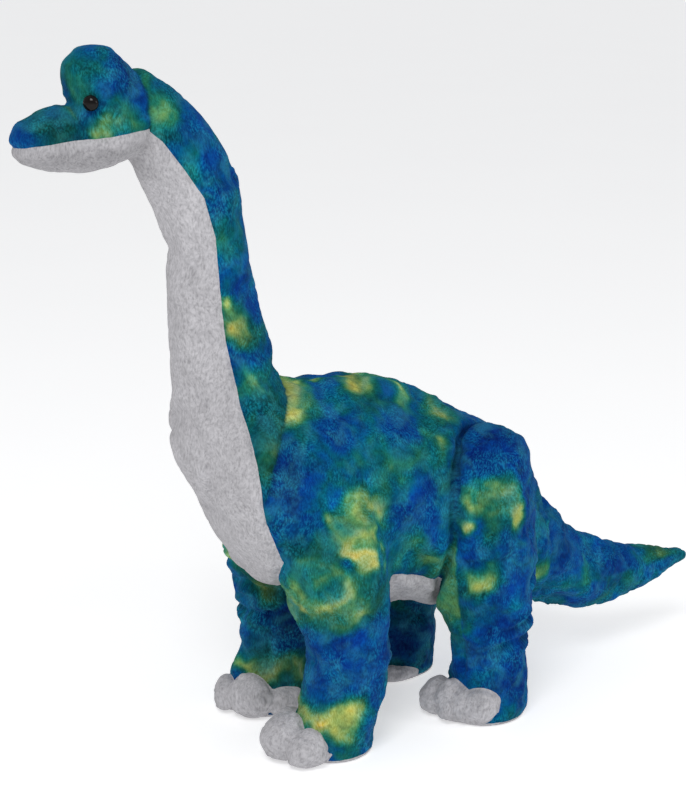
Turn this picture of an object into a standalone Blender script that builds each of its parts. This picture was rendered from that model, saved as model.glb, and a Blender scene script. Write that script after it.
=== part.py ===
"""A long-necked plush dinosaur, built as its sewn panels and its stuffing.

It stands on four feet on the plane z = 0 and faces -X, with its left side at -Y. Every form is a
volume that can be made larger or smaller by an offset: the fabric is the skin between two offsets,
and the stuffing fills what is inside. Each limb bends at a round seam, where the limb's volume ends
in a ball and its neighbour is hollowed out round it.
"""

import math

import bmesh
import bpy
from mathutils import Matrix, Vector

MM = 0.001

# Driving dimensions, in millimetres.
FABRIC = 2.0  # plush backing and pile
GAP = 0.35  # between neighbouring solids
JOINT_GAP = 0.7  # round a limb's ball
SOLE = 2.0

TRACK_FRONT = 36.0  # half the distance between the front feet
TRACK_HIND = 43.0

EYE_RADIUS = 4.1
EYE_SHANK_RADIUS = 1.6
EYE_CENTRE = (-187.0, 16.0, 379.5)
EYE_TURN = math.radians(42.0)  # how far each eye looks forwards
WASHER_RADIUS = 5.5

SIDES = 12  # corners of a volume's cross-section

# Each station: centre x, centre z, tilt of the section's long axis from +Z towards +X in degrees,
# half height along that axis, half width along Y.
TORSO = (
    (-127.0, 176.0, -18.0, 26.0, 17.0),
    (-119.5, 166.5, -18.0, 42.0, 30.0),
    (-104.0, 160.0, -15.0, 56.0, 42.0),
    (-76.0, 154.0, -8.0, 62.0, 49.0),
    (-38.0, 148.0, 0.0, 66.0, 52.0),
    (2.0, 141.0, 0.0, 64.0, 52.0),
    (40.0, 128.0, 2.0, 59.5, 48.0),
    (74.0, 113.0, 3.0, 54.0, 40.0),
    (100.0, 95.0, 3.0, 41.5, 30.5),
    (114.0, 86.5, 3.0, 32.5, 22.0),
)
NECK = (
    (-104.0, 205.0, 84.0, 32.5, 31.5),
    (-108.5, 231.0, 82.0, 28.8, 28.3),
    (-113.8, 266.0, 84.0, 24.4, 24.4),
    (-116.8, 300.0, 85.0, 23.4, 23.2),
    (-120.3, 326.0, 74.0, 23.0, 22.4),
    (-131.0, 350.5, 60.0, 22.2, 21.2),
    (-150.0, 371.5, 46.0, 20.5, 20.0),
)
TAIL = (
    (112.0, 83.0, 0.0, 36.5, 23.5),
    (133.0, 66.5, 8.0, 26.5, 19.5),
    (158.0, 58.5, 5.0, 22.0, 16.0),
    (188.0, 56.0, 0.0, 15.0, 11.5),
    (212.0, 56.5, 0.0, 8.5, 7.5),
    (225.0, 57.5, 0.0, 4.0, 4.0),
)
HEAD = (
    (-151.0, 375.0, 0.0, 20.0, 18.0),
    (-158.0, 374.0, 0.0, 24.5, 20.5),
    (-166.0, 374.0, 0.0, 28.5, 21.5),
    (-175.0, 375.3, 0.0, 32.0, 21.5),
    (-184.0, 375.0, 0.0, 32.5, 20.5),
    (-190.0, 372.0, 0.0, 30.0, 18.5),
    (-195.0, 365.0, 0.0, 22.5, 17.0),
    (-201.0, 360.5, 0.0, 17.0, 16.0),
    (-211.0, 359.5, 0.0, 14.5, 14.5),
    (-220.0, 359.0, 0.0, 11.5, 12.0),
    (-226.5, 358.0, 0.0, 7.0, 8.0),
)

# The grey underside ends on this line, seen from the side, from the chin to the tail's root.
UNDERSIDE_SEAM = (
    (-157.0, 366.0),
    (-137.0, 340.0),
    (-125.0, 315.0),
    (-122.0, 290.0),
    (-120.0, 249.0),
    (-112.0, 205.0),
    (-98.0, 160.0),
    (-82.0, 112.0),
    (-44.0, 94.0),
    (12.0, 88.0),
    (62.0, 70.0),
    (96.0, 52.0),
)
# The jaw's upper edge, and the line where the hood crosses the snout.
JAW_SEAM = ((-232.0, 357.5), (-211.0, 359.5), (-191.0, 362.5), (-157.0, 365.5), (-140.0, 366.5))
SNOUT_SEAM = ((-198.0, 386.0), (-195.0, 375.0), (-190.0, 361.0))

# Each leg's rings below its ball: z, centre x from the pivot, half length along X, half width along Y.
FRONT_LEG = ((84.0, 1.0, 24.5, 25.0), (58.0, 4.0, 21.5, 21.5), (36.0, 0.0, 22.5, 21.5),
             (22.0, -7.0, 29.0, 23.5), (10.0, -12.0, 33.5, 25.0), (2.2, -13.0, 32.0, 23.5),
             (0.0, -13.0, 29.0, 21.0))
HIND_LEG = ((78.0, -1.0, 23.5, 24.0), (56.0, 2.0, 20.5, 20.5), (34.0, 0.0, 22.0, 20.5),
            (22.0, -5.0, 28.5, 22.5), (10.0, -8.0, 33.0, 24.0), (2.2, -9.0, 31.5, 22.5),
            (0.0, -9.0, 28.5, 20.0))

# The seams that bend: pivot in millimetres, axis, and the least and greatest angle in degrees.
JOINTS = {
    "neck": ((-104.0, 0.0, 205.0), "Y", (-12, 12)),
    "head": ((-150.0, 0.0, 374.0), "Y", (-12, 12)),
    "tail": ((112.0, 0.0, 83.0), "Z", (-20, 20)),
    "front_left": ((-55.0, -TRACK_FRONT, 100.0), "Y", (-8, 18)),
    "front_right": ((-55.0, TRACK_FRONT, 100.0), "Y", (-8, 18)),
    "hind_left": ((47.0, -TRACK_HIND, 92.0), "Y", (-18, 8)),
    "hind_right": ((47.0, TRACK_HIND, 92.0), "Y", (-18, 8)),
}
BALL = {"front": 26.5, "hind": 24.5}
NECK_BALL = 32.0
HEAD_BALL = 20.0
CROWN_AXIS = (-0.69, 0.0, 0.72)  # the way the neck points where it enters the head

COLOURS = {
    "print": (0.02, 0.17, 0.33),
    "grey": (0.47, 0.46, 0.49),
    "fill": (0.85, 0.85, 0.82),
    "black": (0.01, 0.01, 0.01),
    "washer": (0.8, 0.8, 0.8),
}
ROUGHNESS = {"print": 0.9, "grey": 0.9, "fill": 1.0, "black": 0.08, "washer": 0.5}


# ---------------------------------------------------------------- scene and mesh helpers


def clear_scene():
    for obj in list(bpy.data.objects):
        bpy.data.objects.remove(obj, do_unlink=True)


def new_collection(name):
    collection = bpy.data.collections.new(name)
    bpy.context.scene.collection.children.link(collection)
    return collection


def new_object(name, bm):
    """An object in the workshop collection made of the bmesh bm, which is freed.

    Its faces are cut into triangles, because a loft's quads aren't flat.
    """
    bmesh.ops.triangulate(bm, faces=bm.faces)
    bmesh.ops.recalc_face_normals(bm, faces=bm.faces)
    mesh = bpy.data.meshes.new(name)
    bm.to_mesh(mesh)
    bm.free()
    obj = bpy.data.objects.new(name, mesh)
    workshop.objects.link(obj)
    return obj


def duplicate(obj):
    copy = obj.copy()
    copy.data = obj.data.copy()
    workshop.objects.link(copy)
    return copy


def is_closed(mesh):
    bm = bmesh.new()
    bm.from_mesh(mesh)
    closed = len(bm.faces) > 0 and all(len(edge.link_faces) == 2 for edge in bm.edges)
    bm.free()
    return closed


def boolean(obj, tool, operation, keep_tool=False):
    """Applies a Boolean to obj at once, and removes the tool unless it is wanted again.

    Where the EXACT solver leaves the result open, the MANIFOLD solver cuts instead.
    """
    modifier = obj.modifiers.new("cut", "BOOLEAN")
    modifier.operation = operation
    modifier.object = tool
    for solver in ("EXACT", "MANIFOLD"):
        modifier.solver = solver
        graph = bpy.context.evaluated_depsgraph_get()
        mesh = bpy.data.meshes.new_from_object(obj.evaluated_get(graph))
        if is_closed(mesh):
            break
    obj.modifiers.clear()
    obj.data = mesh
    if not keep_tool:
        bpy.data.objects.remove(tool)
    return obj


def keep_largest_body(obj):
    """Drops the crumbs that a cut leaves, and welds points that a cut left almost together."""
    bm = bmesh.new()
    bm.from_mesh(obj.data)
    bmesh.ops.remove_doubles(bm, verts=bm.verts, dist=0.01 * MM)
    unseen = set(bm.faces)
    bodies = []
    while unseen:
        body, front = set(), [unseen.pop()]
        while front:
            face = front.pop()
            body.add(face)
            for edge in face.edges:
                for other in edge.link_faces:
                    if other in unseen:
                        unseen.remove(other)
                        front.append(other)
        bodies.append(body)
    bodies.sort(key=lambda faces: sum(face.calc_area() for face in faces))
    for body in bodies[:-1]:
        bmesh.ops.delete(bm, geom=list(body), context="FACES")
    bm.to_mesh(obj.data)
    bm.free()
    return obj


# ---------------------------------------------------------------- volumes


def section(station, offset):
    """The corners of one tilted, elliptical cross-section."""
    x, z, tilt, half_height, half_width = station
    lean = math.radians(tilt)
    up = Vector((math.sin(lean), 0.0, math.cos(lean)))
    corners = []
    for i in range(SIDES):
        turn = 2 * math.pi * (i + 0.5) / SIDES
        side = (half_width + offset) * math.sin(turn)
        corners.append(
            MM * (Vector((x, side, z)) + up * ((half_height + offset) * math.cos(turn)))
        )
    return corners


def sections_of(stations, offset):
    """The sections of a row of stations. The two ends move outward by the offset as well."""
    rings = [section(station, offset) for station in stations]
    for end, beside in ((0, 1), (-1, -2)):
        (x, z), (near_x, near_z) = stations[end][:2], stations[beside][:2]
        outward = Vector((x - near_x, 0.0, z - near_z)).normalized() * (offset * MM)
        rings[end] = [corner + outward for corner in rings[end]]
    return rings


def loft(name, sections, first_pole=None, last_pole=None):
    """A closed body through sections of equal numbers of corners, ended by a pole or a flat face."""
    bm = bmesh.new()
    rings = [[bm.verts.new(corner) for corner in corners] for corners in sections]
    for near, far in zip(rings, rings[1:]):
        for i in range(len(near)):
            j = (i + 1) % len(near)
            bm.faces.new((near[i], near[j], far[j], far[i]))
    for ring, pole in ((rings[0], first_pole), (rings[-1], last_pole)):
        if pole is None:
            bm.faces.new(ring)
        else:
            tip = bm.verts.new(MM * Vector(pole))
            for i in range(len(ring)):
                bm.faces.new((ring[i], ring[(i + 1) % len(ring)], tip))
    return new_object(name, bm)


def ellipsoid(name, centre, radii, segments=14):
    bm = bmesh.new()
    bmesh.ops.create_uvsphere(bm, u_segments=segments, v_segments=segments * 2 // 3, radius=1.0)
    bmesh.ops.transform(
        bm,
        verts=bm.verts,
        matrix=Matrix.LocRotScale(MM * Vector(centre), None, MM * Vector(radii)),
    )
    return new_object(name, bm)


def box(name, low, high):
    bm = bmesh.new()
    bmesh.ops.create_cube(bm, size=1.0)
    low, high = Vector(low), Vector(high)
    bmesh.ops.transform(
        bm,
        verts=bm.verts,
        matrix=Matrix.LocRotScale(MM * (low + high) / 2, None, MM * (high - low)),
    )
    return new_object(name, bm)


def rod(name, centre, radius, length, sides=10, hole=0.0):
    """A round bar along Y, or a ring where it has a hole."""
    bm = bmesh.new()
    place = Matrix.Translation(MM * Vector(centre)) @ Matrix.Rotation(math.pi / 2, 4, "X")
    bmesh.ops.create_cone(
        bm, cap_ends=True, segments=sides, radius1=radius * MM, radius2=radius * MM,
        depth=length * MM, matrix=place,
    )
    bar = new_object(name, bm)
    if hole:
        boolean(bar, rod("hole", centre, hole, length + 2, sides), "DIFFERENCE")
    return bar


def curtain(name, line, shift, far):
    """The region on one side of a line seen from the side, extruded right across the body.

    The line moves by shift, and the region is closed by the points in far.
    """
    outline = [Vector((x + shift[0], 0.0, z + shift[1])) for x, z in line]
    outline += [Vector((x, 0.0, z)) for x, z in far]
    across = Vector((0.0, 100.0, 0.0))
    bm = bmesh.new()
    near = [bm.verts.new(MM * (point - across)) for point in outline]
    opposite = [bm.verts.new(MM * (point + across)) for point in outline]
    bm.faces.new(near)
    bm.faces.new(opposite)
    for i in range(len(outline)):
        j = (i + 1) % len(outline)
        bm.faces.new((near[i], near[j], opposite[j], opposite[i]))
    return new_object(name, bm)


def torso_volume(offset):
    """The body with the two shoulders that the front legs leave from."""
    torso = loft("torso", sections_of(TORSO, offset))
    for side in (-1, 1):
        shoulder = ellipsoid(
            "shoulder",
            (-55.0, side * (TRACK_FRONT - 3.0), 122.0),
            (33.0 + offset, 29.0 + offset, 47.0 + offset),
        )
        boolean(torso, shoulder, "UNION")
    return torso


def thigh_volume(side, offset):
    """The rounded top of a hind leg, which lies against the body's flank."""
    return ellipsoid(
        "thigh",
        (45.5, side * (TRACK_HIND - 4.0), 121.0),
        (31.0 + offset, 25.0 + offset, 59.0 + offset),
    )


def ball_end(centre, radius, offset, leading, steps=3):
    """Sections of the half ball that closes a volume, from its pole to its widest, and the pole.

    leading is the unit direction from the ball's centre to its pole, in the XZ plane.
    """
    lean = Vector(leading)
    tilt = math.degrees(math.atan2(lean.x, lean.z)) + 90.0
    sections = []
    for step in range(1, steps):
        rise = math.pi / 2 * (1 - step / steps)
        place = Vector(centre) + lean * ((radius + offset) * math.sin(rise))
        flat = (radius + offset) * math.cos(rise)
        sections.append(section((place.x, place.z, tilt, flat, flat), 0.0))
    return sections, Vector(centre) + lean * (radius + offset)


def neck_rings(offset):
    return [section(station, offset) for station in NECK]


def neck_volume(offset):
    """The neck between its two balls."""
    base, crown = JOINTS["neck"][0], JOINTS["head"][0]
    low, low_pole = ball_end(base, NECK_BALL, offset, (0.1, 0.0, -0.995))
    high, high_pole = ball_end(crown, HEAD_BALL, offset, CROWN_AXIS)
    rings = low + neck_rings(offset) + high[::-1]
    # The ball's sections run the other way round from the neck's own.
    rings = [flipped(ring) if index < len(low) else ring for index, ring in enumerate(rings)]
    return loft("neck", rings, low_pole, high_pole)


def flipped(ring):
    """The same section, numbered so that its corners face those of a ring tilted by half a turn."""
    half = len(ring) // 2
    turned = ring[half:] + ring[:half]
    return turned[::-1]


def tail_rings(offset):
    """The tail's sections, whose root is round about the upright axis that it wags on."""
    pivot = JOINTS["tail"][0]
    first = TAIL[0]
    root = []
    for step in (1, 2):
        turn = math.pi / 2 * step / 3
        root.append(
            section(
                (
                    pivot[0] - (first[4] + offset) * math.cos(turn),
                    first[1],
                    0.0,
                    first[3] * (0.8 + 0.2 * math.sin(turn)),
                    first[4] * math.sin(turn),
                ),
                offset * 0.7,
            )
        )
    return root + [section(station, offset) for station in TAIL]


def tail_volume(offset):
    return loft("tail", tail_rings(offset), None, (227.0 + offset, 0.0, 59.0))


def leg_rings(name, offset, floor=0.0):
    """A leg's sections below its ball. The sole is at the given floor."""
    pivot = JOINTS[name][0]
    table = {"front": FRONT_LEG, "hind": HIND_LEG}[name.split("_")[0]]
    return [
        flat_ring(
            pivot, max(z, floor) if z else floor, shift, half_length + offset, half_width + offset
        )
        for z, shift, half_length, half_width in table
    ]


def leg_volume(name, offset, floor=0.0):
    """A leg from its ball to its flat sole."""
    pivot = JOINTS[name][0]
    radius = BALL[name.split("_")[0]] + offset
    rings = []
    for rise in (60.0, 30.0, 0.0):
        up = math.radians(rise)
        flat = radius * math.cos(up)
        rings.append(flat_ring(pivot, pivot[2] + radius * math.sin(up), 0.0, flat, flat))
    rings += leg_rings(name, offset, floor)
    return loft(name, rings, (pivot[0], pivot[1], pivot[2] + radius))


def flat_ring(pivot, z, shift, half_length, half_width):
    corners = []
    for i in range(SIDES):
        turn = 2 * math.pi * (i + 0.5) / SIDES
        corners.append(
            MM
            * Vector(
                (
                    pivot[0] + shift + half_length * math.cos(turn),
                    pivot[1] + half_width * math.sin(turn),
                    z,
                )
            )
        )
    return corners


def head_volume(offset):
    """The hood, snout and jaw in one."""
    return loft("head", sections_of(HEAD, offset), None, (-227.0 - offset, 0.0, 358.0))


# ---------------------------------------------------------------- joints


def path(joint, sections, ball=0.0, inverse=False):
    """The convex envelope of the sections near a joint as they turn through its range.

    A ball, if there is one, adds a plain sphere that clears it at every angle. An inverse path is the
    one that the joint's parent takes as seen from its child.
    """
    centre, axis, limits = JOINTS[joint]
    centre = MM * Vector(centre)
    corners = [corner for ring in sections for corner in ring]
    points = []
    for angle in (limits[0], sum(limits) / 2, limits[1]):
        turn = Matrix.Rotation(math.radians(-angle if inverse else angle), 3, axis)
        points += [centre + turn @ (corner - centre) for corner in corners]
    if ball:
        radius = (ball + JOINT_GAP) / math.cos(math.pi / 14) / math.cos(math.pi / 16) * MM
        for row in range(1, 8):
            high = math.pi * row / 8
            for i in range(14):
                turn = 2 * math.pi * i / 14
                out = radius * math.sin(high)
                points.append(
                    centre + Vector((out * math.cos(turn), out * math.sin(turn), radius * math.cos(high)))
                )
        points += [centre + Vector((0.0, 0.0, radius)), centre - Vector((0.0, 0.0, radius))]
    bm = bmesh.new()
    for point in points:
        bm.verts.new(point)
    hull = bmesh.ops.convex_hull(bm, input=bm.verts)
    inside = {item for item in hull["geom_interior"] if isinstance(item, bmesh.types.BMVert)}
    bmesh.ops.delete(bm, geom=list(inside), context="VERTS")
    return new_object("path", bm)


def clear_path(pieces, cutter):
    """Cuts a moving part's path from several pieces, and removes it."""
    for piece in pieces:
        boolean(piece, cutter, "DIFFERENCE", keep_tool=True)
    bpy.data.objects.remove(cutter)


# ---------------------------------------------------------------- parts


def material(slot):
    made = bpy.data.materials.get(slot)
    if made is None:
        made = bpy.data.materials.new(slot)
        made.use_nodes = True
        shader = made.node_tree.nodes["Principled BSDF"]
        shader.inputs["Base Color"].default_value = (*COLOURS[slot], 1.0)
        shader.inputs["Roughness"].default_value = ROUGHNESS[slot]
        shader.inputs["Metallic"].default_value = 0.0
    return made


def finish(obj, name, slot, body):
    """Names a finished piece and moves its origin to its body's pivot."""
    keep_largest_body(obj)
    obj.name = name
    obj.data.name = name
    obj.data.materials.clear()
    obj.data.materials.append(material(slot))
    workshop.objects.unlink(obj)
    parts.objects.link(obj)
    holder = holders[body]
    obj.data.transform(holder.matrix_world.inverted())
    obj.parent = holder
    obj.data.shade_smooth()
    obj.data.set_sharp_from_angle(angle=math.radians(40))
    return obj


def halves(obj):
    """The left and right halves of obj, a gap apart at the plane y = 0."""
    right = duplicate(obj)
    for piece, low, high in ((obj, -GAP / 2, 200), (right, -200, GAP / 2)):
        cutter = box("cut", (-400, low, -50), (400, high, 500))
        boolean(piece, cutter, "DIFFERENCE")
    return obj, right


def underside(shift):
    """The region in front of and below the seam of the grey panel."""
    far = ((140.0, 50.0), (140.0, -20.0), (-260.0, -20.0), (-260.0, 366.0))
    return curtain("underside", UNDERSIDE_SEAM, shift, far)


def build_torso():
    skin = torso_volume(0.0)
    fill = torso_volume(-FABRIC - GAP)
    thighs = {}
    for side, word in ((-1, "left"), (1, "right")):
        panel = thigh_volume(side, 0.0)
        boolean(panel, thigh_volume(side, -FABRIC), "DIFFERENCE")
        stuffing = thigh_volume(side, -FABRIC - GAP)
        for piece in (panel, stuffing):
            boolean(piece, torso_volume(2 * GAP), "DIFFERENCE")
        thighs[word] = (panel, stuffing)
    clear_path((skin, fill), path("neck", neck_rings(JOINT_GAP)[:3], NECK_BALL))
    clear_path((skin, fill), path("tail", tail_rings(JOINT_GAP)[:4]))
    for word in ("left", "right"):
        for kind in ("front", "hind"):
            joint = f"{kind}_{word}"
            pieces = (skin, fill) + (thighs[word] if kind == "hind" else ())
            clear_path(pieces, path(joint, leg_rings(joint, JOINT_GAP)[:3], BALL[kind]))
    boolean(skin, torso_volume(-FABRIC), "DIFFERENCE")
    grey = duplicate(skin)
    boolean(grey, underside((0.0, 0.0)), "INTERSECT")
    boolean(skin, underside((GAP, GAP)), "DIFFERENCE")
    left, right = halves(skin)
    finish(grey, "chest_belly_panel", "grey", "torso")
    finish(left, "body_left_panel", "print", "torso")
    finish(right, "body_right_panel", "print", "torso")
    finish(fill, "body_stuffing", "fill", "torso")
    for word, (panel, stuffing) in thighs.items():
        finish(panel, f"hind_{word}_thigh_panel", "print", "torso")
        finish(stuffing, f"hind_{word}_thigh_stuffing", "fill", "torso")


def build_neck():
    skin = neck_volume(0.0)
    boolean(skin, neck_volume(-FABRIC), "DIFFERENCE")
    # The fabric tube is open at the far end of both balls.
    base, crown = JOINTS["neck"][0], JOINTS["head"][0]
    boolean(skin, box("cut", (-200, -60, 100), (0, 60, base[2] - 0.7 * NECK_BALL)), "DIFFERENCE")
    mouth = Vector(crown) + HEAD_BALL * Vector(CROWN_AXIS)
    boolean(skin, ellipsoid("mouth", mouth, (12.0, 12.0, 12.0), 10), "DIFFERENCE")
    fill = neck_volume(-FABRIC - GAP)
    throat = duplicate(skin)
    boolean(throat, underside((0.0, 0.0)), "INTERSECT")
    boolean(skin, underside((GAP, GAP)), "DIFFERENCE")
    finish(throat, "throat_panel", "grey", "neck")
    finish(skin, "neck_back_panel", "print", "neck")
    finish(fill, "neck_stuffing", "fill", "neck")


def build_head():
    skin = head_volume(0.0)
    fill = head_volume(-FABRIC - GAP)
    crown = neck_rings(JOINT_GAP)[3:]
    clear_path((skin, fill), path("head", crown, HEAD_BALL, inverse=True))
    boolean(skin, head_volume(-FABRIC), "DIFFERENCE")
    for side, word in ((-1, "left"), (1, "right")):
        x, y, z = EYE_CENTRE
        turn = EYE_TURN if side > 0 else math.pi - EYE_TURN
        place = Matrix.Translation(MM * Vector((x, side * y, z))) @ Matrix.Rotation(turn, 4, "Z")
        eye = ellipsoid("eye", (0, 0, 0), (EYE_RADIUS, EYE_RADIUS * 0.7, EYE_RADIUS), 12)
        boolean(eye, rod("shank", (0, -6, 0), EYE_SHANK_RADIUS, 12.0), "UNION")
        washer = rod("washer", (0, -8, 0), WASHER_RADIUS, 1.4, 12, EYE_SHANK_RADIUS + 0.3)
        seat = rod("seat", (0, 0, 0), EYE_RADIUS + 0.5, 7.0)
        hole = rod("hole", (0, -4, 0), EYE_SHANK_RADIUS + 0.4, 20.0)
        pocket = rod("pocket", (0, -8, 0), WASHER_RADIUS + 0.5, 2.6)
        for piece in (eye, washer, seat, hole, pocket):
            piece.data.transform(place)
        for tool in (seat, hole, pocket):
            for piece in (skin, fill):
                boolean(piece, tool, "DIFFERENCE", keep_tool=True)
            bpy.data.objects.remove(tool)
        finish(eye, f"{word}_eye", "black", "head")
        finish(washer, f"{word}_eye_washer", "washer", "head")
    below = ((-140.0, 330.0), (-240.0, 330.0))
    jaw = duplicate(skin)
    boolean(jaw, curtain("jaw", JAW_SEAM, (0.0, 0.0), below), "INTERSECT")
    boolean(skin, curtain("jaw", JAW_SEAM, (0.0, GAP), below), "DIFFERENCE")
    ahead = ((-192.0, 340.0), (-240.0, 340.0), (-240.0, 392.0))
    snout = duplicate(skin)
    boolean(snout, curtain("snout", SNOUT_SEAM, (0.0, 0.0), ahead), "INTERSECT")
    boolean(skin, curtain("snout", SNOUT_SEAM, (GAP, 0.0), ahead), "DIFFERENCE")
    finish(jaw, "jaw_panel", "grey", "head")
    finish(snout, "snout_panel", "print", "head")
    finish(skin, "hood_panel", "print", "head")
    finish(fill, "head_stuffing", "fill", "head")


def build_tail():
    skin = tail_volume(0.0)
    boolean(skin, tail_volume(-FABRIC), "DIFFERENCE")
    pivot = JOINTS["tail"][0]
    boolean(skin, box("cut", (60, -60, 0), (pivot[0] - 14.0, 60, 200)), "DIFFERENCE")
    fill = tail_volume(-FABRIC - GAP)
    left, right = halves(skin)
    finish(left, "tail_left_panel", "print", "tail")
    finish(right, "tail_right_panel", "print", "tail")
    finish(fill, "tail_stuffing", "fill", "tail")


def build_leg(name):
    kind, word = name.split("_")
    pivot = JOINTS[name][0]
    outward = -1 if word == "left" else 1
    skin = leg_volume(name, 0.0)
    sole = duplicate(skin)
    boolean(sole, box("floor", (-200, -100, -1), (200, 100, SOLE)), "INTERSECT")
    boolean(skin, leg_volume(name, -FABRIC, -5.0), "DIFFERENCE")
    boolean(skin, box("cut", (-200, -100, -9), (200, 100, SOLE + GAP)), "DIFFERENCE")
    opening = pivot[2] + 0.6 * BALL[kind]
    boolean(skin, box("cut", (-200, -100, opening), (200, 100, 200)), "DIFFERENCE")
    fill = leg_volume(name, -FABRIC - GAP, SOLE + GAP)
    # The grey toe cap ends on a line that slopes up and forward from the sole.
    toe_foot = pivot[0] - (22.0 if kind == "front" else 18.0)
    line = ((toe_foot + 8.0, -2.0), (toe_foot, 16.0), (toe_foot - 6.0, 27.0), (toe_foot - 30.0, 34.0))
    ahead = ((toe_foot - 60.0, 34.0), (toe_foot - 60.0, -2.0))
    cap = duplicate(skin)
    boolean(cap, curtain("toes", line, (0.0, 0.0), ahead), "INTERSECT")
    boolean(skin, curtain("toes", line, (GAP, GAP), ahead), "DIFFERENCE")
    outer = skin
    inner = duplicate(skin)
    seam = pivot[1]
    # Each half keeps its own side of the leg's front and back seams.
    left_low, left_high = (-200, -150, -20), (200, seam + GAP / 2, 200)
    right_low, right_high = (-200, seam - GAP / 2, -20), (200, 150, 200)
    away = [(left_low, left_high), (right_low, right_high)]
    if outward > 0:
        away.reverse()
    boolean(inner, box("cut", *away[0]), "DIFFERENCE")
    boolean(outer, box("cut", *away[1]), "DIFFERENCE")
    leg = f"{name}_leg"
    finish(outer, f"{leg}_outer_panel", "print", leg)
    finish(inner, f"{leg}_inner_panel", "print", leg)
    finish(cap, f"{leg}_toe_cap", "grey", leg)
    finish(sole, f"{leg}_sole", "grey", leg)
    finish(fill, f"{leg}_stuffing", "fill", leg)


def add_holders():
    """One empty for each body, on its joint's pivot."""
    made = {}
    pivots = {"torso": (0.0, 0.0, 0.0)}
    for name, (pivot, _, _) in JOINTS.items():
        pivots[name if name in ("neck", "head", "tail") else f"{name}_leg"] = pivot
    for name, pivot in pivots.items():
        empty = bpy.data.objects.new(f"{name}_pivot", None)
        empty.location = MM * Vector(pivot)
        parts.objects.link(empty)
        made[name] = empty
    bpy.context.view_layer.update()
    return made


clear_scene()
parts = new_collection("plush_dinosaur")
workshop = new_collection("workshop")
holders = add_holders()
build_torso()
build_neck()
build_head()
build_tail()
for leg_name in ("front_left", "front_right", "hind_left", "hind_right"):
    build_leg(leg_name)
bpy.data.collections.remove(workshop)
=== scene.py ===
"""The plush dinosaur's looks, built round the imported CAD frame.

The toy's surface starts as one smooth field: volumes through the same stations as the CAD, joined
softly where the cloth runs on and sharply where it is sewn. The field becomes a mesh, a cloth
simulation puffs it out, and the seams cut it into the panels that stand for the CAD's panels.
Lengths are in millimetres until a mesh is made; +X is the tail's way and -Y the toy's left.
"""

import math

import bpy
import numpy as np
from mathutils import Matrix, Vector, kdtree


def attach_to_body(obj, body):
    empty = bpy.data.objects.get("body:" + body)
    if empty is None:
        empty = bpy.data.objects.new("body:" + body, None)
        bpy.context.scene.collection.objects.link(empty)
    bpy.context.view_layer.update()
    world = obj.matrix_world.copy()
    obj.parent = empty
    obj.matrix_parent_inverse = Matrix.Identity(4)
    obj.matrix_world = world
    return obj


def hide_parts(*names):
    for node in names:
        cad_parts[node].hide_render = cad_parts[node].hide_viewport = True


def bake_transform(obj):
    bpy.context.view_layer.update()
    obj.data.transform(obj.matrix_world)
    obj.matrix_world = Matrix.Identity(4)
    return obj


MM = 0.001
FAR = 60.0
SIDES = (("left", -1.0), ("right", 1.0))

# ==== the toy's measures, as in the CAD

# Stations: centre x, centre z, tilt of the long axis from +Z towards +X, half height, half width.
TORSO = (
    (-125.5, 175.5, -18, 26, 17), (-119.5, 165.5, -18, 48, 33), (-105.5, 158, -15, 61.5, 44.5),
    (-76, 154, -8, 62, 49), (-38, 144.5, 0, 69.5, 52), (2, 136.7, 0, 68.3, 52),
    (40, 125, 2, 62.5, 48), (74, 112.5, 3, 53.5, 40), (98, 94, 3, 39, 30), (110, 85, 3, 30, 22),
)
NECK = (
    (-98.5, 180, 84, 32.5, 32), (-102.5, 206, 84, 31.5, 31), (-108.5, 231, 82, 28.8, 28.3),
    (-113.8, 266, 84, 24.2, 24), (-116.8, 300, 85, 22.8, 22.6), (-121.6, 325.2, 74, 24, 22),
    (-133.4, 348.2, 60, 24, 20.5), (-148.8, 368.8, 46, 20.8, 19), (-160.6, 377.8, 38, 17.8, 18),
)
TAIL = (
    (96, 90, 0, 34, 25), (112, 81, 0, 33.5, 22.5), (133, 66, 8, 25.8, 19.5),
    (158, 58.3, 5, 22.2, 16), (188, 55.8, 0, 15.3, 11.5), (212, 56.5, 0, 8.7, 7.5),
    (225, 57.5, 0, 5, 4.8),
)
MUZZLE = (
    (-152, 369, 0, 15, 16), (-160, 366, 0, 17, 18.5), (-172, 363, 0, 18.4, 20),
    (-184, 361.2, 0, 18.8, 19), (-194, 360.9, 0, 18.2, 17.2), (-203, 360.2, 0, 16.4, 16.2),
    (-211, 359.5, 0, 14.6, 14.2), (-218, 359.2, 0, 11.6, 11.6),
)
# Level slices of the hood's dome: tilt 90, half length, half width.
HOOD = (
    (-173, 357, 90, 16.5, 19), (-173.5, 366, 90, 17.5, 20.8), (-174, 375, 90, 17.8, 21),
    (-174.8, 381, 90, 18.6, 20.5), (-175.8, 387, 90, 19.2, 19.8), (-177.3, 393, 90, 18.6, 18.5),
    (-178.6, 398, 90, 16.6, 16.2), (-178.8, 401, 90, 14.4, 14.2), (-178.6, 404, 90, 11, 11.2),
)
# What fills the dip between the dome and the neck: centre and half sizes.
NAPE = ((-159.5, 0, 379.5), (18, 16, 15.8))
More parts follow.
